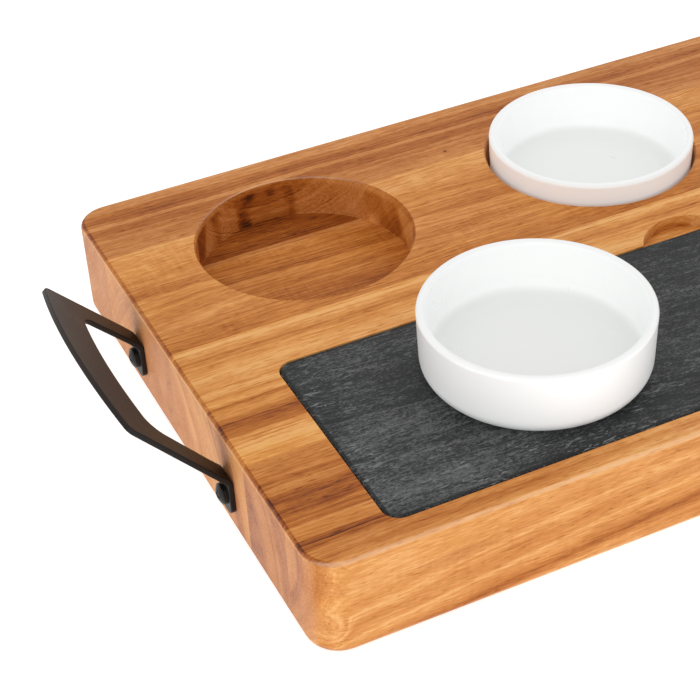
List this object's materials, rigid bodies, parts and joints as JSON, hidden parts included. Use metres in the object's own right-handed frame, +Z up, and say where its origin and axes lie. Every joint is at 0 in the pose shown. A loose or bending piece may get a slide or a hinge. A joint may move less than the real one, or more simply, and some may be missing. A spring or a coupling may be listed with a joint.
{
  "type": "chip and dip server",
  "caption": "Thick wooden serving board with round bowl pockets, a slate-lined recess, lift-out white dip bowls, and a black steel handle at each end.",
  "frame": {"origin": "middle of the board's underside", "axes": "+X along the board's length, +Y from the slate towards the bowl pockets, +Z up"},
  "size_m": [0.5902, 0.287, 0.0813],
  "materials": {
    "acacia_front": "oiled acacia, satin",
    "acacia_inner_front": "oiled acacia, satin",
    "acacia_middle": "oiled acacia, satin",
    "acacia_pocket": "oiled acacia, satin",
    "acacia_back": "oiled acacia, satin",
    "slate": "natural cleft, matte",
    "white_glaze": "satin white glaze",
    "black_powder_coat": "satin black powder coat on steel",
    "black_screw": "black coated steel"
  },
  "bodies": {
    "board": {"front_stave": "acacia_front", "inner_front_stave": "acacia_inner_front", "middle_stave": "acacia_middle", "pocket_stave": "acacia_pocket", "back_stave": "acacia_back", "handle_left": "black_powder_coat", "handle_right": "black_powder_coat", "handle_left_screw_front": "black_screw", "handle_left_screw_rear": "black_screw", "handle_right_screw_front": "black_screw", "handle_right_screw_rear": "black_screw"},
    "slate": {"slate_plate": "slate"},
    "bowl_left": {"bowl_left": "white_glaze"},
    "bowl_middle": {"bowl_middle": "white_glaze"},
    "bowl_right": {"bowl_right": "white_glaze"}
  },
  "joints": [
    {"name": "slate_lift", "type": "slide", "parent": "board", "child": "slate", "axis": [0, 0, 1], "range_m": [0, 0.1]},
    {"name": "bowl_left_lift", "type": "slide", "parent": "slate", "child": "bowl_left", "axis": [0, 0, 1], "range_m": [0, 0.1]},
    {"name": "bowl_middle_lift", "type": "slide", "parent": "board", "child": "bowl_middle", "axis": [0, 0, 1], "range_m": [0, 0.1]},
    {"name": "bowl_right_lift", "type": "slide", "parent": "board", "child": "bowl_right", "axis": [0, 0, 1], "range_m": [0, 0.1]}
  ]
}
